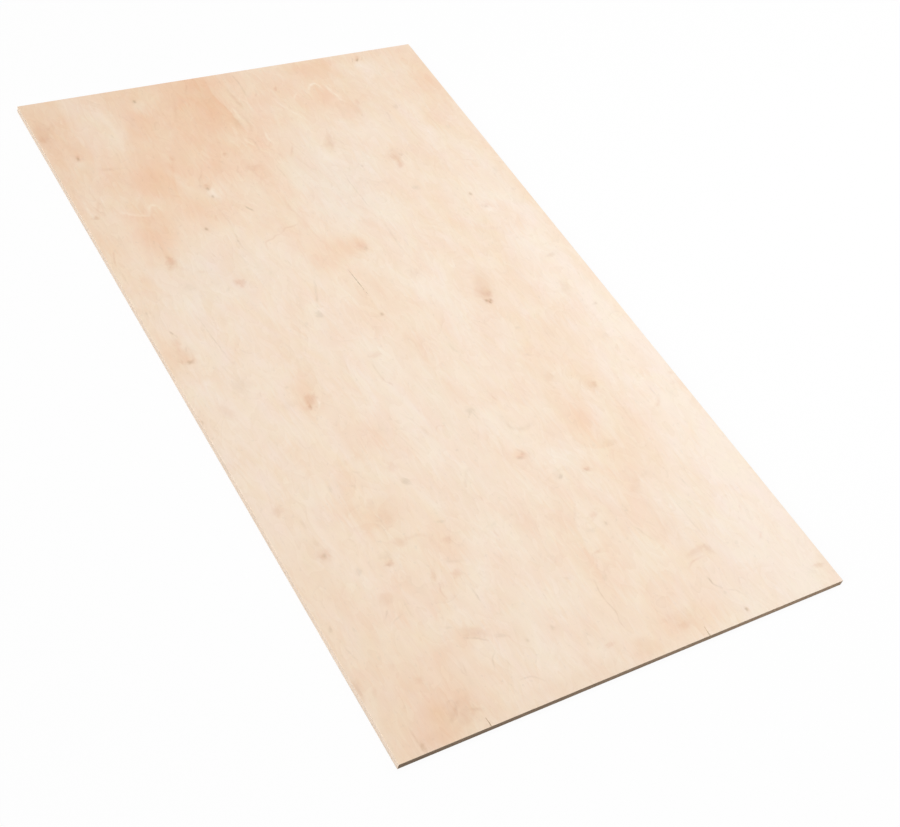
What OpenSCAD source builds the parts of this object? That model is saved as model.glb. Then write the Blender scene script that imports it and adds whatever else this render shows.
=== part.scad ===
// Plywood sheet: one flat rectangular panel of stock, lying on its back.
// The face grain runs along Y. The origin is the centre of the underside.

/* [Panel] */
// Length along the face grain, in millimetres
sheet_length = 2135; // [600:1:3050]
// Width across the face grain, in millimetres
sheet_width = 1220; // [300:1:1525]
// Thickness of the pressed and sanded panel, in millimetres
sheet_thickness = 18; // [3:0.5:40]

/* [Sawn edges] */
// Leg of the small 45 degree flat that sanding leaves along every arris, in millimetres
arris = 0.5; // [0.2:0.1:1]

/* [Hidden] */
// How far each bar runs past the panel on either side, so that only the eased sections cut it
overrun = 10;

// Section through the panel from one sawn edge to the other, standing on the floor line
module eased_section(span) {
    edge = span / 2;
    flat_end = edge - arris;
    shoulder = sheet_thickness - arris;
    polygon([
        [-flat_end, 0],
        [flat_end, 0],
        [edge, arris],
        [edge, shoulder],
        [flat_end, sheet_thickness],
        [-flat_end, sheet_thickness],
        [-edge, shoulder],
        [-edge, arris]
    ]);
}

// Bar of that section, lying along Y and centred on the origin
module eased_bar(span, run) {
    rotate([90, 0, 0])
        linear_extrude(height = run + 2 * overrun, center = true)
            eased_section(span);
}

// The panel is what the bar along its length and the bar across its width share,
// so that each of its four sawn edges is eased and the arrises meet in mitres
module plywood_sheet() {
    color("wheat")
        intersection() {
            eased_bar(sheet_width, sheet_length);
            rotate([0, 0, 90]) eased_bar(sheet_length, sheet_width);
        }
}

plywood_sheet();
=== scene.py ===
"""Looks of a plywood sheet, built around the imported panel.

The panel is one closed mesh. Its faces are triangulated finely round every knot, stain, line and split, so
that their colour and shallow relief are held by the mesh. Fibres, figure and pores come from the materials.
Lengths in the lists are millimetres from the middle of the sheet: x across it, y along the grain of its face.
A lean is in degrees, and tips the far end of a mark towards +x.
"""

import math
import random
from collections import namedtuple

import bpy
import numpy as np
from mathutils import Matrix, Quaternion, Vector, geometry, noise


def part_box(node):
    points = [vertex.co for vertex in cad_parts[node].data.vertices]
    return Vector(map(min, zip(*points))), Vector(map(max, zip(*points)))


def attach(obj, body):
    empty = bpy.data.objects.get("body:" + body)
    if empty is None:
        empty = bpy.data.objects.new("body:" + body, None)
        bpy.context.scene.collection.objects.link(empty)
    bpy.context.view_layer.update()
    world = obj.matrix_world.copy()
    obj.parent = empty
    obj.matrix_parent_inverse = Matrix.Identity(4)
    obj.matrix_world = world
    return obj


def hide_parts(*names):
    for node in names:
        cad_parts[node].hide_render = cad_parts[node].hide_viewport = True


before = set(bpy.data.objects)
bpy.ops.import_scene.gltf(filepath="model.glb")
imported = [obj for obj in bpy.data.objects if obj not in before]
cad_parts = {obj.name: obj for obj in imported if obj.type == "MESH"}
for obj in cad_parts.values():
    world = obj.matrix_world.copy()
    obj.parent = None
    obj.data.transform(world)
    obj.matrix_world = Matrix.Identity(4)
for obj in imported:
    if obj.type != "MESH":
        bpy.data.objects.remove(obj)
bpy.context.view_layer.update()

MM = 0.001
PANEL_NODE = "plywood_sheet"
panel_low, panel_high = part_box(PANEL_NODE)
WIDTH, LENGTH, THICKNESS = [round(size / MM, 3) for size in panel_high - panel_low]

# The vector noise behind ragged outlines and wavering lines starts from the clock unless it is seeded
NOISE_SEED = 11
noise.seed_set(NOISE_SEED)

# Kinds of marks on a face, with their places, half sizes, leans and strengths
Knot = namedtuple("Knot", "x y wide long lean rust dark warmth pale")
Stain = namedtuple("Stain", "x y wide long rust umber lean", defaults=(0, 0))
Pin = namedtuple("Pin", "x y size dark")
Wash = namedtuple("Wash", "x y wide long warmth tone lean", defaults=(0, 0))
Line = namedtuple("Line", "width rust umber pale points")
Fold = namedtuple("Fold", "reach tone warmth points")
Split = namedtuple("Split", "width depth points")
Face = namedtuple("Face", "knots stains pins washes lines folds splits")


def marks(kind, rows):
    """Marks of one kind, from rows of their values."""
    return [kind(*row) for row in rows]


# Better face: knots with a brown body, a dark heart, a warm halo up the grain and a pale foot
KNOTS = marks(Knot, [
    (-534, 828, 7, 13, 10, 0.45, 1, 0.15, 0.2),
    (-255, 628, 8, 13, 20, 0.35, 0.75, 0.1, 0.3),
    (156, 712, 14, 28, 18, 0.28, 0.16, 0.05, 0),
    (306, 572, 9, 15, 40, 0.46, 0.05, 0.1, 0),
    (415, 1038, 6, 14, 35, 0.4, 1.2, 0.1, 0.2),
    (-461, 391, 11, 17, 40, 0.62, 0.06, 0.1, 0),
    (-327, 275, 13, 15, 5, 0.45, 0, 0.1, 0),
    (-553, 68, 15, 8, -5, 0.24, 0.38, 0.12, 0),
    (271, 43, 23, 23, 15, 0.42, 0, 0.08, 0),
    (459, 350, 12, 10, 10, 0.25, 0.34, 0, 0.4),
    (40, 305, 14, 16, 30, 0.36, 0, 0.1, 0),
    (-336, -140, 16, 23, 30, 0.58, 0, 0.18, 0),
    (62, -467, 14, 7, 0, 0.44, 0.45, 0.15, 0.1),
    (370, -330, 13, 15, 15, 0.35, 0, 0.1, 0),
    (-515, -554, 15, 15, 10, 0.34, 0.1, 0.08, 0.1),
    (-389, -627, 10, 8, 0, 0.5, 0.3, 0.05, 0.3),
    (199, -557, 9, 6, 15, 0.6, 0.25, 0.1, 0.3),
])

# Better face: brown and grey stains without a heart
STAINS = marks(Stain, [
    (-586, 940, 20, 44, 0.26, 0.02, 10),
    (-590, 918, 13, 14, 0.22, 0.04),
    (266, 18, 10, 9, 0.3, 0.2),
    (165, 736, 7, 20, 0.12, 0.06, 15),
    (-347, -157, 5, 7, 0.5, 0.25, 10),
    (-390, -135, 20, 14, 0, 0.12, -15),
    (46, 294, 5, 9, 0.1, 0.3, 30),
    (72, -456, 16, 5, 0.25, 0.15, 60),
    (-462, 412, 5, 6, 0.15, 0.2),
    (-470, 372, 6, 10, 0.25, 0, 35),
    (-446, 366, 16, 7, 0.14, 0, 35),
    (303, 598, 14, 18, 0.16, 0.1, 10),
    (-556, 66, 13, 8, 0.2, 0.24),
    (-560, 95, 22, 26, 0.2),
    (-577, 597, 8, 6, 0.5, 0.15),
    (-298, 760, 6, 9, 0.3, 0, 10),
    (-153, 742, 5, 5, 0.4, 0.1),
    (110, 967, 5, 10, 0.45, 0, 20),
    (-62, 855, 12, 22, 0.12, 0.1),
    (-100, 668, 20, 16, 0.25),
    (-80, 510, 9, 26, 0.14),
    (318, 853, 5, 14, 0.3),
    (303, 818, 14, 30, 0.12, 0.06, 5),
    (314, 614, 18, 27, 0.16, 0.05, 12),
    (420, 805, 8, 10, 0.05, 0.3, 10),
    (530, 683, 7, 10, 0, 0.2, 25),
    (-562, 130, 10, 18, 0.22),
    (-365, 262, 4, 10, 0, 0.22, 30),
    (-455, 298, 14, 13, 0.05, 0.14, 20),
    (-404, 340, 12, 5, 0.16, 0, 15),
    (-283, 515, 4, 11, 0.22, 0, 20),
    (-237, 283, 4, 9, 0, 0.18, 30),
    (-232, 92, 4, 7, 0, 0.28, 30),
    (-460, 30, 7, 6, 0.08, 0.16),
    (-185, 112, 10, 11, 0, 0.5),
    (-100, 278, 30, 22, 0.1, 0, 20),
    (53, 160, 4, 10, 0, 0.2),
    (125, 172, 14, 20, 0.05, 0.1),
    (-175, 300, 3, 10, 0, 0.22),
    (300, 472, 10, 10, 0, 0.32),
    (279, 42, 9, 11, 0.22, 0.08, 10),
    (283, 86, 24, 44, 0.14, 0.02, 12),
    (531, 121, 17, 7, 0.14, 0.2, -5),
    (566, 475, 8, 16, 0, 0.2, 33),
    (499, 0, 14, 27, 0.17, 0.12, 20),
    (-475, -38, 20, 22, 0.06, 0.18, 10),
    (-542, -103, 13, 24, 0.18, 0.03, -20),
    (-372, -82, 4, 5, 0, 0.35, 20),
    (377, -328, 6, 10, 0.14, 0.12, 20),
    (-558, -410, 11, 13, 0.28, 0.1, 25),
    (-417, -395, 4, 9, 0, 0.42, 10),
    (-520, -460, 4, 12, 0, 0.22),
    (-366, -403, 8, 3, 0, 0.2, 20),
    (-336, -372, 9, 3, 0, 0.16, 25),
    (-250, -383, 11, 13, 0.22, 0, 20),
    (-240, -438, 9, 13, 0.05, 0.48, -35),
    (-342, -512, 24, 18, 0.22),
    (-350, -465, 10, 14, 0.2, 0, 20),
    (-515, -520, 6, 9, 0.1, 0.16, -15),
    (-115, -56, 17, 10, 0.27),
    (18, -297, 12, 9, 0.05, 0.38),
    (-120, -318, 4, 10, 0, 0.2),
    (-76, -395, 4, 3, 0, 0.4),
    (275, -262, 14, 22, 0.2, 0, 10),
    (268, -302, 7, 4, 0, 0.18),
    (302, -505, 18, 9, 0.1, 0.12),
    (545, -80, 9, 4, 0, 0.26, -5),
    (505, -190, 12, 9, 0, 0.14),
    (262, -182, 10, 4, 0, 0.18, 15),
    (290, -90, 6, 5, 0, 0.3, 30),
    (598, -362, 12, 6, 0.18, 0, 20),
    (-463, -622, 8, 11, 0.05, 0.34, 10),
    (-388, -606, 14, 12, 0.05, 0.18),
    (-340, -582, 20, 10, 0.34, 0, 10),
    (-222, -566, 10, 4, 0, 0.36, 15),
    (-232, -616, 13, 9, 0.3, 0, -5),
    (-259, -705, 13, 12, 0.34, 0, 25),
    (-312, -692, 6, 16, 0.34, 0, 5),
    (-445, -705, 18, 18, 0.25, 0, 30),
    (-590, -731, 4, 7, 0.1, 0.5, 15),
    (-544, -750, 3, 5, 0, 0.3),
    (-302, -856, 28, 13, 0.3, 0.06, 27),
    (-252, -884, 14, 5, 0.05, 0.32, 22),
    (-350, -823, 9, 3, 0, 0.25, 15),
    (-428, -1004, 34, 24, 0.24, 0.04, -15),
    (-545, -1053, 5, 10, 0.3, 0.5),
    (-424, -1030, 24, 15, 0.22, 0.04, -20),
    (-512, -1042, 28, 18, 0.14, 0.02),
    (-606, -882, 8, 30, 0.42, 0.12),
    (-575, -900, 6, 15, 0.25, 0, 15),
    (-475, -912, 13, 8, 0.18, 0, 5),
    (123, -554, 5, 7, 0.1, 0.55, 45),
    (118, -546, 12, 17, 0.05, 0.14, 30),
    (-110, -618, 9, 5, 0, 0.25, -22),
    (135, -680, 17, 8, 0.34, 0, -33),
    (104, -717, 10, 6, 0, 0.22, 25),
    (82, -774, 12, 4, 0.34, 0, -8),
    (-28, -810, 10, 3, 0, 0.2, 28),
    (57, -843, 5, 10, 0, 0.26, 30),
    (-35, -998, 14, 6, 0.34, 0, -5),
    (155, -1022, 16, 9, 0.3),
    (170, -1000, 44, 26, 0.14),
    (45, -1032, 22, 24, 0.16, 0, -20),
    (-110, -1012, 10, 15, 0.14, 0, 20),
    (314, -860, 32, 8, 0.26, 0.06, -8),
    (346, -868, 9, 14, 0.28, 0.12, -20),
    (306, -984, 5, 5, 0, 0.34),
    (385, -735, 6, 11, 0, 0.14, -27),
    (425, -877, 4, 6, 0, 0.25, 20),
    (580, -1008, 16, 6, 0.34, 0.08, 10),
    (330, -620, 18, 8, 0.03, 0.14, -24),
    (287, -642, 12, 22, 0.16, 0, 45),
])

# Better face: pin knots, which are small dark pits
PINS = marks(Pin, [
    (261, 22, 3, 1),
    (268, 13, 3, 1),
    (273, 20, 2.4, 0.8),
    (-318, -136, 3.5, 0.2),
    (-514, -555, 4.5, 0.48),
    (-301, 1010, 4.5, 0.95),
    (-257, 592, 4, 0.8),
    (-325, 481, 4, 0.95),
    (440, 404, 4.5, 0.72),
    (-31, 64, 4, 0.82),
    (-266, 416, 3.5, 0.28),
    (-590, 246, 3.5, 0.35),
    (195, 594, 3.5, 0.4),
    (150, -712, 4, 0.42),
    (-132, -910, 4.5, 0.42),
    (-203, -917, 3.5, 0.42),
    (328, -1042, 3.5, 1.1),
    (-160, -613, 3.5, 0.16),
    (-607, -117, 4, 0.6),
])

# Better face: broad patches that are darker or lighter (tone) and more orange or more grey (warmth)
WASHES = marks(Wash, [
    # Back left, orange, with a pale band along the grain
    (-350, 880, 345, 310, 0.46),
    (-580, 850, 40, 330, 0.14, -0.01),
    (-150, 965, 70, 130, 0.12, -0.01, 20),
    (-445, 945, 66, 165, -0.34, 0.01, 6),
    (-370, 690, 70, 60, 0.1),
    (-170, 430, 80, 40, 0.08),
    (-420, 535, 150, 75, 0.16, 0, -15),
    (-232, 585, 34, 42, -0.1),
    (-200, 500, 110, 60, 0.1, 0, 25),
    (-475, 455, 60, 60, 0.2),
    (-85, 590, 42, 150, 0.12),
    # Back right, warm towards the end
    (190, 940, 250, 125, 0.24),
    (255, 960, 55, 90, 0.12),
    (575, 930, 45, 150, 0.2),
    (540, 800, 85, 210, 0.11),
    (100, 1050, 520, 34, 0.1),
    (600, 700, 22, 380, 0.12),
    (30, 880, 48, 42, -0.14),
    (280, 1035, 80, 40, 0.12),
    (290, 815, 35, 45, 0.07),
    (205, 890, 40, 42, 0.1),
    # Middle
    (110, 545, 110, 160, -0.14, -0.02, 12),
    (-495, 232, 65, 82, -0.1),
    (-345, 320, 95, 80, -0.05, -0.02),
    (-60, 305, 70, 82, 0.2),
    (15, 315, 55, 32, 0.2),
    (-10, 100, 85, 140, 0.12),
    (-585, 105, 35, 55, 0.24),
    (-580, 370, 50, 160, 0.2),
    (-595, -10, 24, 90, 0.1),
    (335, 360, 85, 270, 0.06),
    (165, -20, 70, 180, -0.08),
    (462, 200, 32, 190, -0.08),
    (-120, -250, 85, 330, -0.08),
    (-320, -120, 60, 180, 0.06),
    # Right side, pale
    (530, -250, 95, 720, -0.14, 0.01),
    (585, -500, 40, 560, -0.1),
    (455, -890, 140, 205, -0.14),
    # Front
    (295, -330, 75, 370, 0.09),
    (258, -425, 45, 50, 0.16),
    (300, -555, 75, 75, 0.1),
    (435, -485, 45, 45, 0.1),
    (350, -415, 28, 36, -0.1),
    (-275, -605, 80, 60, 0.1),
    (225, -1030, 85, 38, 0.1),
    (270, -870, 50, 34, 0.1),
    (-340, -990, 80, 72, 0.1),
    (30, -350, 50, 60, -0.08),
    (530, -1030, 60, 40, -0.06),
    (155, -495, 58, 36, -0.11),
    (-330, -500, 130, 230, 0.1),
    (-345, -498, 46, 36, 0.22, -0.01),
    (-500, -920, 125, 200, 0.25, -0.01),
    (-450, -1018, 90, 50, 0.12, -0.01),
    (-345, -865, 70, 25, 0.14, 0, -20),
    (-545, -1015, 75, 75, 0.12),
    (-150, -1050, 170, 26, 0.1, -0.02),
    (-460, -1056, 140, 20, 0.1, -0.01),
    (-555, -620, 70, 90, 0.1),
    (110, -890, 120, 180, 0.1),
    (32, -790, 24, 130, 0.08),
    (150, -1022, 80, 38, 0.14),
    (45, -1040, 34, 34, 0.18),
    # Pale feet and flecks beside the pin knots
    (-301, 984, 15, 25, -0.3, 0.01, 10),
    (-248, 600, 13, 22, -0.2, 0.02, -20),
    (425, 990, 28, 46, -0.18, 0.01, 15),
    (399, 1006, 9, 13, -0.25, 0.02, 15),
    (-535, 797, 11, 14, -0.14),
    (-415, 860, 26, 40, -0.1, 0, 20),
    (-315, 675, 10, 50, -0.2, 0.01, -15),
    (140, 125, 45, 50, -0.12, 0.01, 30),
    (97, -740, 10, 8, -0.15, 0.02),
    (-478, -780, 12, 9, -0.12, 0.02),
    (360, 1010, 16, 40, -0.1, 0.01, -10),
])

# Better face: thin lines of the figure, drawn as smooth curves through these points
LINES = marks(Line, [
    (2.5, 0.22, 0.06, 0, [(-205, 370), (-199, 392), (-176, 398), (-164, 408), (-145, 408)]),
    (2.5, 0.22, 0.06, 0, [(-140, 412), (-126, 424), (-106, 426), (-88, 431)]),
    (4, 0.14, 0.1, 0, [(-28, 1005), (-25, 950), (-19, 905)]),
    (5, 0.15, 0.16, 0, [(-40, 912), (-37, 880), (-32, 845), (-38, 815)]),
    (8, 0.04, 0.05, 0, [(-57, 888), (-62, 860), (-65, 832)]),
    (3, 0.1, 0.22, 0, [(-68, 788), (-56, 778), (-52, 750), (-55, 722)]),
    (3, 0.24, 0.03, 0, [(-128, 1052), (-138, 1030), (-150, 1006)]),
    (3, 0.26, 0.06, 0, [(50, 978), (46, 962), (38, 946)]),
    (3, 0, 0, 0.5, [(-47, 918), (-46, 892), (-50, 866)]),
    (5, 0, 0, 0.55, [(-83, 858), (-83, 830), (-87, 803)]),
    (3, 0, 0, 0.6, [(-74, 788), (-68, 771), (-58, 752)]),
    (3.5, 0, 0, 0.55, [(-114, 788), (-105, 765), (-98, 722)]),
    (3.5, 0, 0, 0.5, [(-87, 786), (-82, 760), (-83, 728)]),
    (3.5, 0, 0, 0.45, [(-5, 797), (-7, 770), (-2, 745)]),
    (3, 0, 0, 0.35, [(-2, 945), (2, 925), (4, 890)]),
    (4, 0, 0, 0.5, [(-541, 676), (-538, 655), (-540, 628)]),
    (4, 0, 0, 0.5, [(-583, 665), (-585, 630), (-580, 590)]),
    (4.5, 0, 0, 0.55, [(-508, 600), (-490, 588), (-470, 577), (-446, 570)]),
    (4.5, 0, 0, 0.55, [(-444, 570), (-436, 590), (-425, 603), (-414, 600), (-406, 582)]),
    (3, 0, 0, 0.5, [(-455, 633), (-440, 644)]),
    (5, 0.2, 0.08, 0, [(-498, 772), (-480, 765), (-458, 762)]),
    (4, 0.2, 0, 0, [(-540, 672), (-555, 640), (-566, 608)]),
    (4, 0.1, 0, 0, [(-528, 862), (-540, 880), (-548, 905)]),
    (3, 0.1, 0.12, 0, [(-550, 975), (-556, 950)]),
    (3, 0, 0, 0.4, [(-520, 985), (-526, 965)]),
    (3, 0.08, 0.06, 0, [(-82, 520), (-74, 480), (-66, 440)]),
    (3, 0.1, 0.02, 0, [(-60, 395), (-54, 350), (-45, 308)]),
    (1.8, 0.15, 0.3, 0, [(403, 1048), (398, 1036), (392, 1026)]),
    (1.8, 0.1, 0.36, 0, [(436, 1046), (430, 1036), (424, 1028)]),
    (2.5, 0.05, 0.28, 0, [(14, 1060), (17, 1015), (14, 960)]),
    (1.6, 0, 0.36, 0, [(130, 585), (128, 520), (131, 480), (133, 438)]),
    (3, 0.05, 0.2, 0, [(144, 372), (141, 345), (139, 300), (139, 255)]),
    (2, 0, 0.28, 0, [(163, 297), (162, 272)]),
    (1.6, 0, 0.36, 0, [(-477, 198), (-474, 150), (-470, 100), (-465, 52)]),
    (2.2, 0.28, 0.08, 0, [(-577, 480), (-590, 445), (-597, 418)]),
    (1.8, 0.05, 0.2, 0, [(-592, 408), (-590, 350)]),
    (1.8, 0.05, 0.16, 0, [(-590, 264), (-589, 220)]),
    (1.8, 0.05, 0.12, 0, [(-265, 556), (-258, 500), (-259, 462)]),
    (2, 0.05, 0.22, 0, [(-260, 452), (-266, 414), (-263, 384)]),
    (2.8, 0, 0.3, 0, [(-139, 232), (-155, 190), (-176, 138)]),
    (1.8, 0.05, 0.4, 0, [(-551, 100), (-544, 114)]),
    (2, 0.15, 0.55, 0, [(-560, 174), (-552, 150)]),
    (2, 0.1, 0.3, 0, [(-467, 457), (-464, 436)]),
    (2.2, 0.05, 0.08, 0, [(-462, 425), (-463, 405)]),
    (2.5, 0.1, 0.6, 0, [(-190, 532), (-178, 508)]),
    (2.5, 0.18, 0.08, 0, [(-240, 702), (-256, 672), (-276, 640)]),
    (2.2, 0.14, 0.18, 0, [(-141, 690), (-149, 668), (-148, 635)]),
    (4, 0.12, 0.03, 0, [(-120, 690), (-106, 650), (-96, 590)]),
    (5, 0.16, 0.03, 0, [(-226, 900), (-203, 958), (-190, 1004)]),
    (5, 0.14, 0.03, 0, [(-352, 902), (-342, 925), (-333, 952)]),
    (3, 0, 0, 0.7, [(140, 910), (152, 925), (168, 938)]),
    (3.5, 0, 0, 0.7, [(197, 930), (214, 954), (234, 961), (244, 946), (248, 922)]),
    (4, 0, 0, 0.6, [(258, 950), (266, 915), (275, 882), (283, 858)]),
    (3, 0, 0, 0.5, [(86, 925), (93, 895), (110, 866)]),
    (3, 0, 0, 0.4, [(106, 870), (122, 838), (135, 810)]),
    (2.2, 0.05, 0.16, 0, [(-38, 662), (-33, 605)]),
    (2.5, 0.2, 0.05, 0, [(46, 730), (36, 710), (23, 688)]),
    (2, 0.05, 0.12, 0, [(50, 722), (58, 690), (66, 660)]),
    (2.2, 0.12, 0.16, 0, [(383, 806), (380, 780), (377, 754)]),
    (3, 0, 0, 0.6, [(-321, -134), (-319, -150), (-326, -164)]),
    (2.5, 0.35, 0.2, 0, [(-139, -126), (-135, -142), (-125, -157)]),
    (2, 0.05, 0.32, 0, [(-137, -82), (-138, -124)]),
    (2, 0, 0.26, 0, [(14, -302), (0, -320)]),
    (2, 0, 0.4, 0, [(22, -304), (27, -330)]),
    (2.2, 0.15, 0.05, 0, [(-96, -328), (-85, -314), (-66, -318)]),
    (5.5, 0.06, 0.17, 0, [(83, -335), (84, -362), (94, -382), (111, -391), (131, -390), (149, -383)]),
    (3, 0, 0.16, 0, [(83, -72), (85, -100), (92, -128)]),
    (3.5, 0.1, 0.12, 0, [(-74, -458), (-90, -460), (-108, -488), (-126, -522)]),
    (2, 0.25, 0.05, 0, [(97, -260), (101, -292)]),
    (2.5, 0.1, 0.12, 0, [(398, -365), (401, -400), (402, -430), (396, -472)]),
    (4.5, 0.34, 0, 0, [(515, -420), (503, -438), (478, -452)]),
    (2.2, 0.05, 0.26, 0, [(511, -380), (513, -418)]),
    (2, 0, 0.14, 0, [(-150, -248), (-135, -275), (-120, -312)]),
    (4, 0.11, 0.04, 0, [(-330, -576), (-318, -580), (-290, -580), (-270, -595), (-262, -630)]),
    (2.2, 0.26, 0.05, 0, [(-310, -712), (-318, -735), (-318, -758)]),
    (4, 0.05, 0.18, 0, [(-268, -668), (-224, -682)]),
    (2, 0.1, 0.36, 0, [(-453, -732), (-466, -750)]),
    (1.8, 0, 0.3, 0, [(-407, -726), (-411, -766)]),
    (2, 0, 0.22, 0, [(-462, -768), (-445, -760), (-428, -756)]),
    (1.8, 0, 0.34, 0, [(-585, -762), (-581, -790), (-574, -818)]),
    (1.8, 0.15, 0.36, 0, [(-334, -857), (-310, -868), (-284, -884)]),
    (2, 0.18, 0, 0, [(-240, -880), (-231, -912)]),
    (1.8, 0.05, 0.26, 0, [(-286, -914), (-300, -928), (-309, -952)]),
    (1.8, 0.05, 0.2, 0, [(-274, -942), (-273, -966)]),
    (2, 0.05, 0.22, 0, [(-273, -996), (-238, -1001), (-220, -1026)]),
    (1.8, 0.05, 0.16, 0, [(-299, -996), (-295, -1032)]),
    (4, 0.14, 0.14, 0, [(-467, -1028), (-446, -1010), (-424, -988)]),
    (4, 0.14, 0.12, 0, [(-416, -1010), (-396, -1020), (-378, -1031)]),
    (2, 0.15, 0.2, 0, [(-551, -1002), (-548, -1048)]),
    (1.7, 0.15, 0.28, 0, [(28, -836), (24, -880), (26, -912), (27, -936), (22, -958), (26, -988)]),
    (3, 0.18, 0.04, 0, [(106, -638), (96, -658), (84, -678)]),
    (2.2, 0, 0.2, 0, [(205, -734), (215, -755), (233, -798)]),
    (2, 0.05, 0.1, 0, [(247, -740), (262, -765)]),
    (1.8, 0, 0.45, 0, [(-251, -750), (-246, -792)]),
    (2, 0.08, 0.6, 0, [(292, -928), (295, -950), (307, -973)]),
    (2, 0.05, 0.26, 0, [(316, -980), (334, -988), (346, -1006)]),
    (2.2, 0.05, 0.16, 0, [(350, -986), (367, -964), (378, -976)]),
    (2.5, 0.05, 0.26, 0, [(378, -650), (385, -642), (390, -634)]),
    (2.5, 0.3, 0, 0, [(266, -893), (290, -881), (322, -880)]),
    (1.8, 0, 0.2, 0, [(352, -706), (354, -742), (356, -792), (361, -846)]),
    (3.5, 0, 0.15, 0, [(517, -652), (515, -690), (518, -716), (521, -748)]),
    (2.8, 0, 0.28, 0, [(411, -662), (413, -696)]),
    (3, 0.38, 0.05, 0, [(504, -786), (496, -802)]),
    (3, 0.26, 0, 0, [(506, -874), (488, -888)]),
])

# Better face: growth-ring edges, where the colour stops along a line and fades out on its left
FOLDS = marks(Fold, [
    (60, -0.02, 0.32, [(-50, 800), (-58, 860), (-62, 910), (-72, 960), (-76, 1000), (-71, 1064)]),
    (24, -0.01, 0.11, [(-47, 310), (-54, 350), (-64, 430), (-74, 500), (-70, 600), (-62, 700)]),
    (20, -0.02, 0.14, [(-18, 880), (-17, 930), (-25, 1010)]),
    (14, -0.01, 0.12, [(-95, 725), (-102, 760), (-106, 785)]),
    (14, -0.01, 0.12, [(-74, 728), (-84, 760), (-86, 788)]),
    (14, -0.01, 0.12, [(-55, 728), (-66, 760), (-73, 790)]),
    (16, 0, 0.12, [(-405, 575), (-425, 600), (-445, 566), (-472, 580), (-508, 598)]),
    (26, -0.01, 0.2, [(-346, 585), (-336, 640), (-322, 690), (-304, 745)]),
    (20, 0, 0.1, [(258, 912), (252, 960), (232, 955), (200, 928)]),
    (45, -0.01, 0.16, [(50, -855), (60, -800), (72, -720), (84, -675), (112, -622)]),
    (30, -0.01, 0.15, [(213, -430), (228, -485), (262, -512), (330, -516)]),
    (30, 0, 0.12, [(-500, 830), (-506, 900), (-512, 960), (-505, 1060)]),
    (16, -0.01, 0.1, [(-20, -600), (-42, -642), (-62, -560)]),
])

# Better face: open splits in the veneer, with their half width and depth
SPLITS = marks(Split, [
    (0.9, 0.9, [(-38, 232), (-36, 200), (-34, 170), (-31, 134)]),
    (1, 0.9, [(-389, -1046), (-388, -1062), (-388, -1090)]),
    (1, 0.9, [(201, -1044), (200, -1060), (199, -1090)]),
])

# Outlines of the marks: how far out they fade, in half sizes, and how ragged they are
FADED_OUT = 3
RAGGED = 0.35
STAIN_RAGGED = 0.55
RAGGED_WAVES = 1.4
FINER = 2.7
FINER_SHARE = 0.5
LAYER_STEP = 97
STAIN_SHARP = 1.6
WASH_CORNER = 3

# Parts of a knot: place and half sizes as shares of the knot's own, and share of its lean
KnotPart = namedtuple("KnotPart", "right up wide long lean")
HEART = KnotPart(-0.25, -0.35, 0.5, 0.5, 1)
HALO = KnotPart(0, 1.2, 1.4, 2, 0.5)
FOOT = KnotPart(0, -2, 1.3, 1.5, 0.5)
KNOT_SHARP = 1.5
HEART_SHARP = 1.3
HALO_RUST = 0.12
FOOT_COOLING = 0.3
FOOT_LIGHT = 0.04
SWAY_REACH = 3
SWAY_SHARE = 0.5

# Pin knots
PIN_LONG = 1.3
PIN_SHARP = 1.4
PIN_RIM = 2
PIN_RUST = 0.3

# Lines, folds and splits
LINE_REACH = 4
LINE_STRENGTH = 1.3
LINE_TAPER = 0.4
LINE_GAPS = 0.09
LINE_EVEN = 0.8
LINE_UNEVEN = 0.9
LINE_FAINTEST = 0.1
# Painted highlight on the right of a dark line, and how far out it lies, in widths
LINE_HIGHLIGHT = 0.04
HIGHLIGHT_AWAY = 2.2
PALE_LIGHT = 0.05
PALE_COOLING = 0.35
FOLD_REACH = 2.5
FOLD_TAPER = 0.5
FOLD_EDGE = 5
# How far out a split is painted dark, in widths: painted shade in the crack, fading out a little past its rim
SPLIT_SHADE_REACH = 1.4
PATH_END = 0.02
SPLIT_END = 0.03
WAVER = 3
WAVER_WAVES = 0.06

# Share of the wood's colour that a mark of full strength covers
RUST_SHARE = 0.46
UMBER_SHARE = 0.33
SPLIT_SHARE = 0.8

# Relief of the faces
KNOT_DISH = 0.18
HEART_PIT = 0.45
PIN_PIT = 0.7
LINE_GROOVE = 0.25

# Triangulation of the faces, with strips beside lines and splits in widths, and beside folds in millimetres
GRID_STEP = 17
KNOT_RINGS = 8
PIN_RINGS = 4
STAIN_RING_STEP = 3.6
STAIN_RINGS = 7
MARK_REACH = 2
LINE_STEP = 6
LINE_STRIPS = (0, -0.8, 0.8, -1.8, 1.8)
SPLIT_STRIPS = (0, -1, 1, -0.5, 0.5, -2, 2)
FOLD_STRIPS = (-2.5, 2.5, 9)
SAME_POINT = 0.7
RIM_CLEAR = 2.5
MERGE_WITHIN = 1e-6

# Sawn edges: thirteen veneers, every second one across the grain of the faces
PLIES = 13
FACE_PLY = 1.2
GLUE = 0.14
ARRIS = 0.5
STATION_STEP = 24
STATION_CLEAR = 0.3
CORNER_CLEAR = 0.5
END_GRAIN_INSET = 0.12
LONG_GRAIN_INSET = 0.04
INSET_UNEVEN = 0.9
INSET_WAVES = (0.045, 7.3, 11)
# A little darker by the upper arris, and a painted shadow along the foot of the sides, strongest at the front
# left corner and fading out over a reach in millimetres
ARRIS_DARKENING = 0.12
FOOT_SHADOW = 0.7
FOOT_SHADOW_REACH = 330

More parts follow.
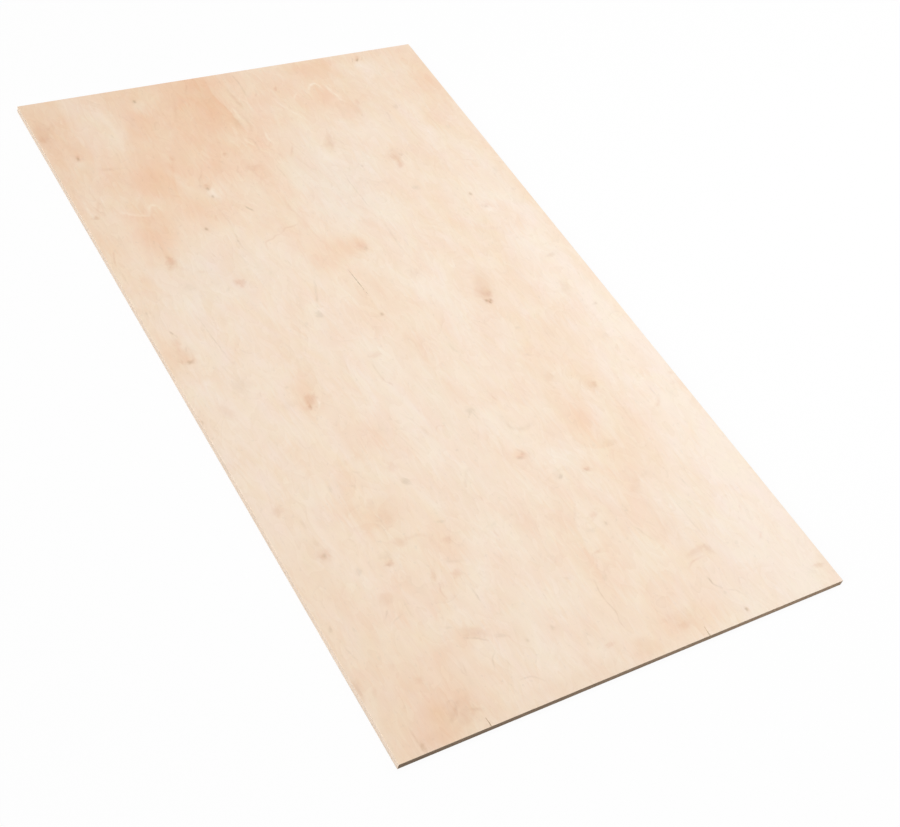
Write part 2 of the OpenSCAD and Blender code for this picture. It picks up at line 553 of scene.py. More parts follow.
# Chips of the arrises, per metre of a side, and the notch where a split meets the front edge
SHORT_SIDE_CHIPS = 12
LONG_SIDE_CHIPS = 4
CHIP_LENGTHS = (1.5, 5)
CHIP_DEPTHS = (0.15, 0.8)
CHIP_POWER = 1.5
CHIP_SLOPE = 0.7
CHIP_CLEAR = 8
NOTCH_HALF = 1.4
NOTCH_DEPTH = 0.8
FRONT = 0

# Short lines scattered over the faces, some of them bent to a chevron
TOP_LINES = 200
BACK_LINES = 160
LINE_SPREAD = 0.49
LINE_LEAN = 30
LINE_HALVES = (4, 13)
LINE_BEND = 3
LINE_WIDTHS = (1.4, 2.8)
LINE_STRENGTHS = (0.4, 1.2)
LINE_COLOURS = [(0.16, 0.04, 0), (0.08, 0.12, 0), (0, 0.16, 0), (0, 0, 0.4)]
CHEVRON_SHARE = 0.2
CHEVRON_WIDTHS = (3, 10)
CHEVRON_HEIGHTS = (10, 28)

# Growth-ring edges scattered over the faces
TOP_FOLDS = 36
BACK_FOLDS = 30
TOP_FOLD_WARMTH = 0.1
BACK_FOLD_WARMTH = 0.22
FOLD_ACROSS = (-0.46, 0.46)
FOLD_ALONG = (-0.47, 0.3)
FOLD_CORNERS = (3, 6)
FOLD_DRIFT = 14
FOLD_STEPS = (40, 90)
FOLD_REACHES = (12, 50)
FOLD_TONE = -0.01
FOLD_STRENGTHS = (0.3, 1)

# Underside: the number of its marks, and the ranges that their values are drawn from
BACK_SPREAD = (0.47, 0.48)
BACK_KNOTS = 34
BACK_KNOT = {"wide": (7, 16), "long": (8, 18), "lean": (-25, 25), "rust": (0.4, 0.8),
             "dark": (0, 0.7), "warmth": (0.1, 0.5), "pale": (0, 0.4)}
BACK_STAINS = 40
BACK_STAIN = {"wide": (4, 18), "long": (6, 24), "lean": (-30, 30), "rust": (0, 0.3), "umber": (0, 0.25)}
BACK_PINS = 16
BACK_PIN = {"size": (3, 5), "dark": (0.4, 0.85)}
BACK_WASHES = 48
BACK_WASH = {"wide": (30, 90), "long": (120, 420), "lean": (-5, 5),
             "tone": (-0.02, 0.01), "warmth": (-0.12, 0.24)}

# Seeds of the random marks, the least angle of a sharp edge, and the order of the materials
TOP_SEED = 7
BACK_SEED = 23
SHARP_ANGLE = 30
TOP_FACE, UNDERSIDE, LONG_EDGE, SHORT_EDGE = range(4)
SQUARE = [(-1, -1), (1, -1), (1, 1), (-1, 1)]


# Marks as fields over the points of a face


def falloff(points, x, y, wide, long, lean, sharp=1, corner=2, ragged=RAGGED):
    """A soft ellipse: 1 in its middle and fading out past its rim, with an uneven outline.

    A higher sharpness steepens the rim, and a higher corner power squares the ellipse.
    """
    turn = math.radians(lean)
    dx = points[:, 0] - x
    dy = points[:, 1] - y
    u = (dx * math.cos(turn) - dy * math.sin(turn)) / wide
    v = (dx * math.sin(turn) + dy * math.cos(turn)) / long
    layer = (x + 2 * y) / LAYER_STEP
    value = np.zeros(len(points))
    for i in np.flatnonzero(u * u + v * v < FADED_OUT**2):
        at = Vector((u[i] * RAGGED_WAVES, v[i] * RAGGED_WAVES, layer))
        push = noise.noise_vector(at) + FINER_SHARE * noise.noise_vector(FINER * at)
        reach = abs(u[i] + ragged * push.x) ** corner + abs(v[i] + ragged * push.y) ** corner
        value[i] = math.exp(-(reach ** sharp))
    return value


def curve_through(corners, step):
    """Points about a step apart on a Catmull-Rom curve through the corners."""
    ends = [Vector(p) for p in corners]
    ends = [2 * ends[0] - ends[1], *ends, 2 * ends[-1] - ends[-2]]
    path = []
    for a, b, c, d in zip(ends, ends[1:], ends[2:], ends[3:]):
        count = max(1, round((c - b).length / step))
        for k in range(count):
            t = k / count
            path.append(0.5 * (2 * b + (c - a) * t + (2 * a - 5 * b + 4 * c - d) * t**2
                               + (3 * b - a - 3 * c + d) * t**3))
    return np.array([*path, ends[-2]])


def wavering(corners):
    """The curve through the corners with the small waver of a line in the grain."""
    path = curve_through(corners, LINE_STEP)
    shift = [noise.noise_vector((WAVER_WAVES * x, WAVER_WAVES * y, 0))[:2] for x, y in path]
    return path + WAVER * np.array(shift)


def along_curve(points, path, reach):
    """The points within reach of a path: their indices, signed distances and places along it.

    Distances on the path's left are positive, and places run from 0 to 1.
    """
    low = path.min(0) - reach
    high = path.max(0) + reach
    near = np.flatnonzero(((points > low) & (points < high)).all(1))
    if not len(near):
        return near, np.zeros(0), np.zeros(0)
    start = path[:-1]
    run = path[1:] - start
    length = np.linalg.norm(run, axis=1)
    away = points[near, None] - start
    share = np.clip((away * run).sum(2) / length**2, 0, 1)
    offset = away - share[..., None] * run
    distance = np.linalg.norm(offset, axis=2)
    best = distance.argmin(1)
    row = np.arange(len(near))
    side = np.sign(run[best, 0] * away[row, best, 1] - run[best, 1] * away[row, best, 0])
    before = np.concatenate([[0], np.cumsum(length)])[best]
    place = (before + share[row, best] * length[best]) / length.sum()
    return near, side * distance[row, best], place


def swell(place, end):
    """Near 0 at both ends of a path and 1 halfway along it."""
    return np.sin(np.pi * np.clip(place, end, 1 - end))


def add_wash(fields, points, w):
    patch = falloff(points, w.x, w.y, w.wide, w.long, w.lean, corner=WASH_CORNER)
    fields["tone"] += w.tone * patch
    fields["warmth"] += w.warmth * patch


def knot_part(points, k, part, sharp=1):
    x = k.x + part.right * k.wide
    y = k.y + part.up * k.long
    return falloff(points, x, y, part.wide * k.wide, part.long * k.long, part.lean * k.lean, sharp)


def add_knot(fields, points, k):
    """A dished brown body with a dark pit, a warm halo, a pale foot, and grain that bends round it."""
    body = falloff(points, k.x, k.y, k.wide, k.long, k.lean, KNOT_SHARP, ragged=STAIN_RAGGED)
    heart = knot_part(points, k, HEART, HEART_SHARP)
    halo = knot_part(points, k, HALO)
    foot = knot_part(points, k, FOOT)
    reach = SWAY_REACH * (k.wide + k.long) / 2
    bulge = falloff(points, k.x, k.y, reach, 2 * reach, 0)
    fields["rust"] += k.rust * body + HALO_RUST * k.rust * halo
    fields["umber"] += k.dark * heart
    fields["warmth"] += k.warmth * halo - FOOT_COOLING * k.pale * foot
    fields["tone"] += FOOT_LIGHT * k.pale * foot
    fields["depth"] += KNOT_DISH * body + HEART_PIT * k.dark * heart
    fields["sway"] -= SWAY_SHARE * (points[:, 0] - k.x) * bulge


def add_stain(fields, points, s):
    stain = falloff(points, s.x, s.y, s.wide, s.long, s.lean, STAIN_SHARP, ragged=STAIN_RAGGED)
    fields["rust"] += s.rust * stain
    fields["umber"] += s.umber * stain


def add_pin(fields, points, p):
    """A small dark pit with a brown rim."""
    pit = falloff(points, p.x, p.y, p.size, PIN_LONG * p.size, 0, PIN_SHARP)
    rim = falloff(points, p.x, p.y, PIN_RIM * p.size, PIN_RIM * PIN_LONG * p.size, 0)
    fields["umber"] += p.dark * pit
    fields["rust"] += PIN_RUST * p.dark * rim
    fields["depth"] += PIN_PIT * p.dark * pit


def add_line(fields, points, line):
    """A thin broken stroke that tapers to its ends; a dark one has a painted highlight on its right, where a
    raised lip would catch the light.
    """
    near, distance, place = along_curve(points, wavering(line.points), LINE_REACH * line.width)
    taper = swell(place, PATH_END) ** LINE_TAPER
    gaps = [noise.noise((LINE_GAPS * x, LINE_GAPS * y, line.width)) for x, y in points[near]]
    broken = [max(LINE_FAINTEST, LINE_EVEN + LINE_UNEVEN * gap) for gap in gaps]
    stroke = LINE_STRENGTH * np.exp(-((distance / line.width) ** 2)) * taper * broken
    # Painted highlight that stands for a raised lip catching the light
    highlight = taper * np.exp(-((distance / line.width + HIGHLIGHT_AWAY) ** 2))
    fields["rust"][near] += line.rust * stroke
    fields["umber"][near] += line.umber * stroke
    fields["tone"][near] += PALE_LIGHT * line.pale * stroke + LINE_HIGHLIGHT * (line.rust + line.umber) * highlight
    fields["warmth"][near] -= PALE_COOLING * line.pale * stroke
    fields["depth"][near] += LINE_GROOVE * line.umber * stroke


def add_fold(fields, points, fold):
    """A patch of colour that stops along a line and fades out on its left."""
    near, distance, place = along_curve(points, wavering(fold.points), FOLD_REACH * fold.reach)
    taper = swell(place, PATH_END) ** FOLD_TAPER
    step = np.clip(0.5 + distance / FOLD_EDGE, 0, 1)
    shade = step * np.exp(-np.abs(distance) / fold.reach) * taper
    shade[(place <= 0) | (place >= 1)] = 0
    fields["tone"][near] += fold.tone * shade
    fields["warmth"][near] += fold.warmth * shade


def add_split(fields, points, split):
    """An open crack: painted shade down in the crack, fading out a little past its rim."""
    path = curve_through(split.points, LINE_STEP)
    near, distance, place = along_curve(points, path, LINE_REACH * split.width)
    away = np.abs(distance) / (split.width * swell(place, SPLIT_END))
    fields["depth"][near] += split.depth * np.clip(1 - away, 0, 1)
    # Painted shade in the crack, fading out a little past its rim
    fields["umber"][near] += SPLIT_SHARE / UMBER_SHARE * np.clip(SPLIT_SHADE_REACH - away, 0, 1)


def face_fields(points, face):
    """Colour, grain sway and depth of a face's marks at each point."""
    fields = {name: np.zeros(len(points)) for name in ("tone", "warmth", "rust", "umber", "sway", "depth")}
    kinds = (
        (add_wash, face.washes),
        (add_knot, face.knots),
        (add_stain, face.stains),
        (add_pin, face.pins),
        (add_line, face.lines),
        (add_fold, face.folds),
        (add_split, face.splits),
    )
    for add, members in kinds:
        for mark in members:
            add(fields, points, mark)
    fields["rust"] = np.clip(RUST_SHARE * fields["rust"], 0, 1)
    fields["umber"] = np.clip(UMBER_SHARE * fields["umber"], 0, 1)
    fields["sway"] *= MM
    return fields


# Points of a face, dense where it has marks


def ring_points(x, y, wide, long, lean, rings):
    """Rings of points over a leaning ellipse, out to the reach of a mark."""
    turn = math.radians(lean)
    points = [(x, y)]
    for ring in range(1, rings + 1):
        radius = MARK_REACH * ring / rings
        count = round(2 * math.pi * ring)
        for k in range(count):
            angle = 2 * math.pi * (k + 0.5 * (ring % 2)) / count
            u = wide * radius * math.cos(angle)
            v = long * radius * math.sin(angle)
            right = x + u * math.cos(turn) + v * math.sin(turn)
            up = y - u * math.sin(turn) + v * math.cos(turn)
            points.append((right, up))
    return points


def strip_points(path, offsets, width=1):
    """Points beside a path at each of the offsets from it, in widths."""
    run = np.gradient(path, axis=0)
    run /= np.linalg.norm(run, axis=1)[:, None]
    across = np.stack([-run[:, 1], run[:, 0]], 1)
    return np.concatenate([path + offset * width * across for offset in offsets])


def face_points(face, rim):
    """The rim's own points, then inner points that follow the marks and a plain staggered grid."""
    groups = []
    for split in face.splits:
        groups.append(strip_points(curve_through(split.points, LINE_STEP), SPLIT_STRIPS, split.width))
    for p in face.pins:
        groups.append(ring_points(p.x, p.y, p.size, PIN_LONG * p.size, 0, PIN_RINGS))
    for k in face.knots:
        groups.append(ring_points(k.x, k.y, k.wide, k.long, k.lean, KNOT_RINGS))
    for line in face.lines:
        groups.append(strip_points(wavering(line.points), LINE_STRIPS, line.width))
    for fold in face.folds:
        groups.append(strip_points(wavering(fold.points), FOLD_STRIPS))
    for s in face.stains:
        rings = min(STAIN_RINGS, math.ceil(MARK_REACH * max(s.wide, s.long) / STAIN_RING_STEP))
        groups.append(ring_points(s.x, s.y, s.wide, s.long, s.lean, rings))
    row_step = GRID_STEP * math.sqrt(0.75)
    for row, y in enumerate(np.arange(-LENGTH / 2, LENGTH / 2, row_step)):
        xs = np.arange(-WIDTH / 2 + GRID_STEP / 2 * (row % 2), WIDTH / 2, GRID_STEP)
        groups.append(np.stack([xs, np.full_like(xs, y)], 1))
    points = np.concatenate([np.asarray(group, float) for group in groups])
    inside = (np.abs(points) < (WIDTH / 2 - RIM_CLEAR, LENGTH / 2 - RIM_CLEAR)).all(1)
    points = points[inside]
    cells = np.round(points / SAME_POINT).astype(int)
    first = np.sort(np.unique(cells, axis=0, return_index=True)[1])
    return np.concatenate([rim, points[first]])


def triangulate(points, rim_count):
    """Triangles over the points, inside the closed rim that the first of them make."""
    rim = [(i, (i + 1) % rim_count) for i in range(rim_count)]
    inside_rim = 1
    result = geometry.delaunay_2d_cdt([Vector(p) for p in points], rim, [], inside_rim, MERGE_WITHIN)
    made, faces, sources = result[0], result[2], result[3]
    if len(made) != len(points):
        raise ValueError(f"{len(points)} points became {len(made)}")
    source = [found[0] for found in sources]
    return [[source[i] for i in face] for face in faces]


# Sawn edges

Station = namedtuple("Station", "at inward side along upper lower")


def ply_levels():
    """Each veneer's upper and lower height, from the top down, without the arrises and glue."""
    inner = (THICKNESS - 2 * FACE_PLY) / (PLIES - 2)
    joints = [THICKNESS - FACE_PLY - inner * k for k in range(PLIES - 1)]
    tops = [THICKNESS - ARRIS, *[z - GLUE / 2 for z in joints]]
    feet = [*[z + GLUE / 2 for z in joints], ARRIS]
    return list(zip(tops, feet))


def chip_list(draw, run, per_metre):
    """Small bites out of an arris: place along the side, half length and depth. Deep ones are rare."""
    chips = []
    for _ in range(round(run * MM * per_metre)):
        at = draw.uniform(CHIP_CLEAR, run - CHIP_CLEAR)
        half = draw.uniform(*CHIP_LENGTHS) / 2
        chips.append((at, half, draw.uniform(*CHIP_DEPTHS) ** CHIP_POWER))
    return chips


def chip_depth(chips, s):
    return max([depth * max(0, 1 - ((s - at) / half) ** 2) for at, half, depth in chips], default=0)


def outline(draw, notches):
    """Stations round the panel from its front left corner, with the depths of the chips in both arrises.

    The sides are numbered 0 front, 1 right, 2 back and 3 left, and a station in a corner faces both sides.
    """
    corners = [Vector((x * WIDTH / 2, y * LENGTH / 2)) for x, y in SQUARE]
    stations = []
    for side, start in enumerate(corners):
        run = corners[(side + 1) % 4] - start
        normal = Vector((-run.y, run.x)).normalized()
        per_metre = LONG_SIDE_CHIPS if side % 2 else SHORT_SIDE_CHIPS
        upper = chip_list(draw, run.length, per_metre)
        lower = chip_list(draw, run.length, per_metre)
        upper += [(at, NOTCH_HALF, NOTCH_DEPTH) for at in notches.get(side, [])]
        places = list(np.linspace(0, run.length, round(run.length / STATION_STEP), endpoint=False))
        for at, half, _ in upper + lower:
            places += [at - half, at, at + half]
        last = -STATION_STEP
        for s in sorted(place for place in places if 0 <= place < run.length - CORNER_CLEAR):
            if s - last < STATION_CLEAR:
                continue
            last = s
            at = start + run * (s / run.length)
            inward = -Vector(SQUARE[side]) if s == 0 else normal
            stations.append(Station(at, inward, side, s, chip_depth(upper, s), chip_depth(lower, s)))
    return stations


def is_end_grain(side, ply):
    """The short sides, 0 and 2, cut the veneers that run with the faces across their grain."""
    return (side % 2 == 0) == (ply % 2 == 0)


def edge_inset(side, s, ply):
    """How far a veneer stands back from the panel's side at a place along it."""
    rest = END_GRAIN_INSET if is_end_grain(side, ply) else LONG_GRAIN_INSET
    at = [waves * value for waves, value in zip(INSET_WAVES, (s, ply, side))]
    return rest * (1 + INSET_UNEVEN * noise.noise(at))


def side_rings(stations):
    """Rings of points and heights round the panel, from the top face's rim down to the underside's."""
    levels = [(ply, z) for ply, pair in enumerate(ply_levels()) for z in pair]
    rings = [[(t.at + t.inward * (ARRIS + t.upper), THICKNESS) for t in stations]]
    for level in levels:
        ply, z = level
        ring = []
        for t in stations:
            bite = 0
            if level == levels[0]:
                bite = CHIP_SLOPE * t.upper
            if level == levels[-1]:
                bite = CHIP_SLOPE * t.lower
            lift = CHIP_SLOPE * bite * (1 if ply else -1)
            ring.append((t.at + t.inward * (edge_inset(t.side, t.along, ply) + bite), z + lift))
        rings.append(ring)
    rings.append([(t.at + t.inward * (ARRIS + t.lower), 0) for t in stations])
    return rings


def darker_arris_and_foot_shadow(rings, stations):
    """Darker paint on the rings between the two rims: a little by the upper arris, and a painted shadow along
    the foot, strongest at the front left corner.
    """
    darkening = np.zeros((len(rings) - 2, len(stations)))
    darkening[0] = ARRIS_DARKENING
    corner = Vector((-WIDTH / 2, -LENGTH / 2))
    for i, station in enumerate(stations):
        near = math.exp(-(((station.at - corner).length / FOOT_SHADOW_REACH) ** 2))
        darkening[-1, i] = FOOT_SHADOW * near
    return darkening.ravel()


# Random marks


def anywhere(draw, across, along):
    """A place on a face, within these shares of its width and length from the middle."""
    return draw.uniform(-across, across) * WIDTH, draw.uniform(-along, along) * LENGTH


def scattered_lines(draw, count):
    """Short faint lines all over a face, most of them along the grain: brown, grey or pale."""
    lines = []
    for _ in range(count):
        middle = Vector(anywhere(draw, LINE_SPREAD, LINE_SPREAD))
        lean = math.radians(draw.gauss(0, LINE_LEAN))
        half = draw.uniform(*LINE_HALVES) * Vector((math.sin(lean), math.cos(lean)))
        bend = middle + draw.uniform(-LINE_BEND, LINE_BEND) * half.orthogonal().normalized()
        colours = draw.choice(LINE_COLOURS)
        strength = draw.uniform(*LINE_STRENGTHS)
        points = [middle - half, bend, middle + half]
        if draw.random() < CHEVRON_SHARE:
            points[0] = middle + Vector((-draw.uniform(*CHEVRON_WIDTHS), draw.uniform(*CHEVRON_HEIGHTS)))
            points[2] = middle + Vector((draw.uniform(*CHEVRON_WIDTHS), draw.uniform(*CHEVRON_HEIGHTS)))
        lines.append(Line(draw.uniform(*LINE_WIDTHS), *[strength * share for share in colours], points))
    return lines


def scattered_folds(draw, count, warmth):
    """Growth-ring edges that wander along the grain, up to a given warmth."""
    folds = []
    for _ in range(count):
        x = draw.uniform(*FOLD_ACROSS) * WIDTH
        y = draw.uniform(*FOLD_ALONG) * LENGTH
        points = []
        for _ in range(draw.randint(*FOLD_CORNERS)):
            points.append((x, y))
            x += draw.gauss(0, FOLD_DRIFT)
            y += draw.uniform(*FOLD_STEPS)
        reach = draw.uniform(*FOLD_REACHES)
        folds.append(Fold(reach, FOLD_TONE, draw.uniform(*FOLD_STRENGTHS) * warmth, points))
    return folds


def scattered_marks(draw, kind, count, ranges):
    """Marks of one kind, each with a place and with values from the ranges of its fields."""
    found = []
    for _ in range(count):
        x, y = anywhere(draw, *BACK_SPREAD)
        values = {field: draw.uniform(*span) for field, span in ranges.items()}
        found.append(kind(x=x, y=y, **values))
    return found


def better_face(draw):
    lines = LINES + scattered_lines(draw, TOP_LINES)
    folds = FOLDS + scattered_folds(draw, TOP_FOLDS, TOP_FOLD_WARMTH)
    return Face(KNOTS, STAINS, PINS, WASHES, lines, folds, SPLITS)


def back_face(draw):
    knots = scattered_marks(draw, Knot, BACK_KNOTS, BACK_KNOT)
    stains = scattered_marks(draw, Stain, BACK_STAINS, BACK_STAIN)
    pins = scattered_marks(draw, Pin, BACK_PINS, BACK_PIN)
    washes = scattered_marks(draw, Wash, BACK_WASHES, BACK_WASH)
    lines = scattered_lines(draw, BACK_LINES)
    folds = scattered_folds(draw, BACK_FOLDS, BACK_FOLD_WARMTH)
    return Face(knots, stains, pins, washes, lines, folds, splits=[])


# The panel's mesh


def panel_mesh(name):
    """The closed mesh of the panel, in metres, with its marks as attributes."""
    draw = random.Random(TOP_SEED)
    better = better_face(draw)
    ends = [split.points[-1] for split in SPLITS]
    stations = outline(draw, {FRONT: [x + WIDTH / 2 for x, y in ends if y < -LENGTH / 2]})
    rings = side_rings(stations)
    count = len(stations)
    faces = []
    kinds = []
    end_grain = []
    glue = []

    def close(corners, kind, end=0, glued=0):
        faces.append(corners)
        kinds.append(kind)
        end_grain.append(end)
        glue.append(glued)

    # Better face, whose rim is the first ring
    top_points = face_points(better, np.array([tuple(p) for p, _ in rings[0]]))
    top_fields = face_fields(top_points, better)
    points = [(x, y, z) for (x, y), z in zip(top_points, THICKNESS - top_fields["depth"])]
    for triangle in triangulate(top_points, count):
        close(triangle, TOP_FACE)

    # Rings of the sides, with the place of each ring's first point among all points
    bases = [0]
    for ring in rings[1:-1]:
        bases.append(len(points))
        points += [(p.x, p.y, z) for p, z in ring]

    # Underside, whose rim is the last ring, with its triangles turned to face down
    back = back_face(random.Random(BACK_SEED))
    back_points = face_points(back, np.array([tuple(p) for p, _ in rings[-1]]))
    back_fields = face_fields(back_points, back)
    bases.append(len(points))
    points += [(x, y, z) for (x, y), z in zip(back_points, back_fields["depth"])]
    for triangle in triangulate(back_points, count):
        close([bases[-1] + i for i in reversed(triangle)], UNDERSIDE)

    # Walls between the rings: an arris, then veneers and glue lines by turns, then the lower arris
    for row, (upper, lower) in enumerate(zip(bases, bases[1:])):
        ply, glued = divmod(row - 1, 2)
        arris = row in (0, len(bases) - 2)
        for i, station in enumerate(stations):
            j = (i + 1) % count
            kind = LONG_EDGE if station.side % 2 else SHORT_EDGE
            if arris:
                kind = TOP_FACE if row == 0 else UNDERSIDE
            end = not arris and not glued and is_end_grain(station.side, ply)
            close([upper + j, upper + i, lower + i, lower + j], kind, end, glued and not arris)

    mesh = bpy.data.meshes.new(name)
    mesh.from_pydata(np.array(points) * MM, [], faces)
    mesh.polygons.foreach_set("material_index", kinds)
    sides = dict.fromkeys(top_fields, np.zeros(len(points) - len(top_points) - len(back_points)))
    # On the sides the umber field holds a darker upper arris and a painted shadow along the foot
    sides["umber"] = darker_arris_and_foot_shadow(rings, stations)
    for field in ("tone", "warmth", "rust", "umber", "sway"):
        values = np.concatenate([top_fields[field], sides[field], back_fields[field]])
        mesh.attributes.new(field, "FLOAT", "POINT").data.foreach_set("value", values.astype(np.float32))
    for field, values in (("end_grain", end_grain), ("glue", glue)):
        mesh.attributes.new(field, "FLOAT", "FACE").data.foreach_set("value", np.array(values, np.float32))
    mesh.shade_smooth()
    mesh.set_sharp_from_angle(angle=math.radians(SHARP_ANGLE))
    mesh.validate()
    return mesh


# Materials

Noise = namedtuple("Noise", "waves detail roughness distortion", defaults=(2, 0.5, 0))
NOISE_LOW = 0.3
NOISE_HIGH = 0.7
BUMP_DISTANCE = 0.0002


class Shader:
    """A material's nodes, with short calls for the kinds used here.

    Inputs are numbers, colours or sockets. In a key, _1 stands for the socket with that number.
    """

    def __init__(self, name):
        self.material = bpy.data.materials.new(name)
        self.material.use_nodes = True
        self.tree = self.material.node_tree
        self.surface = self.tree.nodes["Principled BSDF"]
        self.output = self.tree.nodes["Material Output"]
        self.place = self.node("ShaderNodeTexCoord").outputs["Object"]

    def node(self, kind, settings=None, **inputs):
        node = self.tree.nodes.new(kind)
        for key, value in (settings or {}).items():
            setattr(node, key, value)
        for key, value in inputs.items():
            self.put(node, key, value)
        return node

    def put(self, node, key, value):
        socket = node.inputs[int(key[1:]) if key[0] == "_" else key.replace("_", " ")]
        if isinstance(value, bpy.types.NodeSocket):
            self.tree.links.new(value, socket)
        else:
            socket.default_value = value

    def math(self, operation, a, b=0, clamp=False):
        settings = {"operation": operation, "use_clamp": clamp}
        return self.node("ShaderNodeMath", settings, _0=a, _1=b).outputs[0]

    def remap(self, value, low, high, to_low=0, to_high=1):
        inputs = {"From_Min": low, "From_Max": high, "To_Min": to_low, "To_Max": to_high}
        return self.node("ShaderNodeMapRange", Value=value, **inputs).outputs["Result"]

    def spread(self, value, to_low, to_high):
        """A noise's usual range, remapped."""
        return self.remap(value, NOISE_LOW, NOISE_HIGH, to_low, to_high)

    def field(self, name):
        return self.node("ShaderNodeAttribute", {"attribute_name": name}).outputs["Fac"]

    def noise(self, vector, kind):
        stretched = self.node("ShaderNodeVectorMath", {"operation": "MULTIPLY"}, _0=vector, _1=kind.waves)
        inputs = {"Detail": kind.detail, "Roughness": kind.roughness, "Distortion": kind.distortion}
        vector = stretched.outputs["Vector"]
        return self.node("ShaderNodeTexNoise", Vector=vector, Scale=1, **inputs).outputs["Fac"]

    def mix(self, share, a, b, blend="MIX"):
        settings = {"data_type": "RGBA", "blend_type": blend, "clamp_factor": True}
        return self.node("ShaderNodeMix", settings, _0=share, _6=a, _7=b).outputs[2]

    def times(self, colour, value):
        grey = self.node("ShaderNodeCombineColor", Red=value, Green=value, Blue=value).outputs[0]
        return self.mix(1, colour, grey, "MULTIPLY")

    def ramp(self, share, *stops):
        node = self.node("ShaderNodeValToRGB", Fac=share)
        elements = node.color_ramp.elements
        while len(elements) < len(stops):
            elements.new(0.5)
        for element, (place, colour) in zip(elements, stops):
            element.position = place
            element.color = colour
        return node.outputs["Color"]

    def finish(self, colour, roughness, specular, height, strength):
        self.put(self.surface, "Base_Color", colour)
        self.put(self.surface, "Roughness", roughness)
        self.put(self.surface, "Specular_IOR_Level", specular)
        bump = self.node("ShaderNodeBump", Height=height, Strength=strength, Distance=BUMP_DISTANCE)
        self.put(self.surface, "Normal", bump.outputs["Normal"])
        return self.material


# Wood of the faces, from the palest to the most orange, its marks and its faint tints
CREAM = (0.955, 0.83, 0.718, 1)
BIRCH = (0.935, 0.757, 0.6, 1)
HONEY = (0.91, 0.604, 0.405, 1)
RUST = (0.58, 0.18, 0.035, 1)
UMBER = (0.22, 0.15, 0.022, 1)
YELLOWISH = (0.995, 1, 0.957, 1)
PINKISH = (1, 0.974, 0.986, 1)
BIRCH_WARMTH = 0.35
USUAL_WARMTH = 0.24

# Noises of the faces: waves to the metre across the sheet, along its grain and between the two faces
FIBRES = Noise((650, 9, 1), 3, 0.6)
PORES = Noise((1300, 40, 1), 1)
BANDS = Noise((26, 0.8, 1), 4, 0.6, 0.3)
FEATHERS = Noise((110, 7, 7), 2, 0.6)
CLOUDS = Noise((14, 9, 1), 2, 0.5, 0.3)
FLAKES = Noise((26, 10, 8), 1.5, 0.45, 0.5)
BLUSH = Noise((13, 9, 2), 4, 0.66, 0.5)
RINGS = Noise((9, 5, 3), 2, 0.5, 0.8)
RING_PATCHES = Noise((8, 5, 4))
RING_EDGES = Noise((15, 9, 6))
FLECKS = Noise((130, 75, 5), 2, 0.6, 0.4)

# Shapes cut from the noises
PORE_CUT = (0.6, 0.75)
FEATHER_REACH = 0.03
CLOUD_STEPS = 9
CLOUD_STEP_SHARE = 0.6
CLOUD_RANGE = (0.27, 0.67)
CRINKLES = 5
RING_COUNT = 9
RING_PATCH_CUT = (0.42, 0.62, 0.15, 1)
RING_EDGE_CUT = (0.55, 0.66)
RING_EDGE_POWER = 7
DARK_FLECKS = (0.61, 0.75, 0, 0.06)
PALE_FLECKS = (0.37, 0.27, 0, 0.02)

# Strengths of the noises
CLOUD_WARMTH = 0.13
CRINKLE_WARMTH = 0.07
FIGURE_WARMTH = 0.08
BAND_LIGHT = 0.008
FIBRE_LIGHT = 0.009
CRINKLE_SHADE = 0.02
PORE_SHADE = 0.04
FIGURE_SHADE = 0.012
RING_EDGE_SHADE = 0.04
MARK_UNEVEN = (0.75, 1.2)
FACE_ROUGHNESS = (0.52, 0.66)
FACE_SPECULAR = 0.25
FACE_BUMP = 0.35
PORE_DEPTH = 0.6


